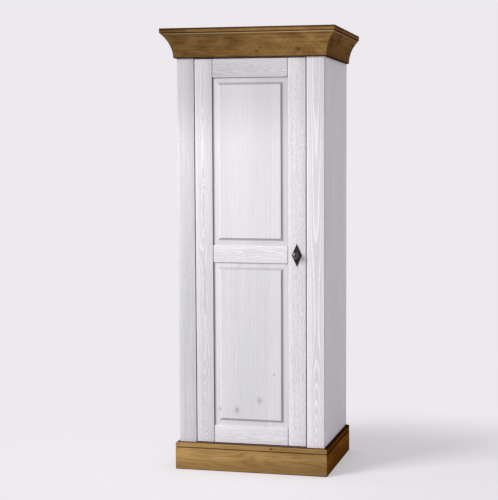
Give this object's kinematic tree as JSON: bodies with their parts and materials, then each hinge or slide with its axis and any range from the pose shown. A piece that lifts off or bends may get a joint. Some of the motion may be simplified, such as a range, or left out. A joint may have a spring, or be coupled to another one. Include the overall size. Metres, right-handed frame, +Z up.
{
  "type": "single-door cupboard",
  "caption": "Tall free-standing wooden cupboard with one panelled inset door, shelves inside, a mitred cornice and a plinth.",
  "frame": {"origin": "on the floor, under the middle of the overall box", "axes": "+Z up, the door's front facing -Y, +X to the viewer's right"},
  "size_m": [0.759, 0.537, 1.9],
  "materials": {
    "white_glaze": "brushed pine under a thin white glaze, matt",
    "honey_oil": "honey-brown oiled pine with small knots, satin",
    "bare_pine": "planed bare pine",
    "black_iron": "black antique iron, lightly hammered",
    "bright_steel": "nickel-plated pressed steel",
    "white_plastic": "moulded white plastic"
  },
  "bodies": {
    "carcass": {"side_panel_left": "white_glaze", "side_panel_right": "white_glaze", "bottom_board": "white_glaze", "top_board": "white_glaze", "face_stile_left": "white_glaze", "face_stile_right": "white_glaze", "face_rail_bottom": "white_glaze", "face_rail_top": "white_glaze", "back_board_1": "white_glaze", "back_board_2": "white_glaze", "back_board_3": "white_glaze", "back_board_4": "white_glaze", "back_board_5": "white_glaze", "rear_rail": "bare_pine", "shelf_1": "white_glaze", "shelf_2": "white_glaze", "shelf_3": "white_glaze", "shelf_4": "white_glaze", "shelf_cleat_1_left": "bare_pine", "shelf_cleat_1_right": "bare_pine", "shelf_cleat_2_left": "bare_pine", "shelf_cleat_2_right": "bare_pine", "shelf_cleat_3_left": "bare_pine", "shelf_cleat_3_right": "bare_pine", "shelf_cleat_4_left": "bare_pine", "shelf_cleat_4_right": "bare_pine", "cornice_front": "honey_oil", "cornice_left": "honey_oil", "cornice_right": "honey_oil", "plinth_front": "honey_oil", "plinth_left": "honey_oil", "plinth_right": "honey_oil", "hinge_batten": "bare_pine", "hinge_plate_lower": "bright_steel", "hinge_plate_middle": "bright_steel", "hinge_plate_upper": "bright_steel", "hinge_arm_lower": "bright_steel", "hinge_arm_middle": "bright_steel", "hinge_arm_upper": "bright_steel", "catch_housing": "white_plastic"},
    "door": {"door_stile_left": "white_glaze", "door_stile_right": "white_glaze", "door_rail_bottom": "white_glaze", "door_rail_middle": "white_glaze", "door_rail_top": "white_glaze", "door_panel_lower": "white_glaze", "door_panel_upper": "white_glaze", "hinge_cup_lower": "bright_steel", "hinge_cup_middle": "bright_steel", "hinge_cup_upper": "bright_steel", "hinge_pin_lower": "bright_steel", "hinge_pin_middle": "bright_steel", "hinge_pin_upper": "bright_steel", "knob_backplate": "black_iron", "knob": "black_iron", "knob_screw": "bright_steel", "strike_plate": "bright_steel"}
  },
  "joints": [
    {"name": "door_hinge", "type": "hinge", "parent": "carcass", "child": "door", "pos_m": [-0.21175, -0.197, 0.9485], "axis": [0, 0, -1], "range_deg": [0, 95]}
  ]
}
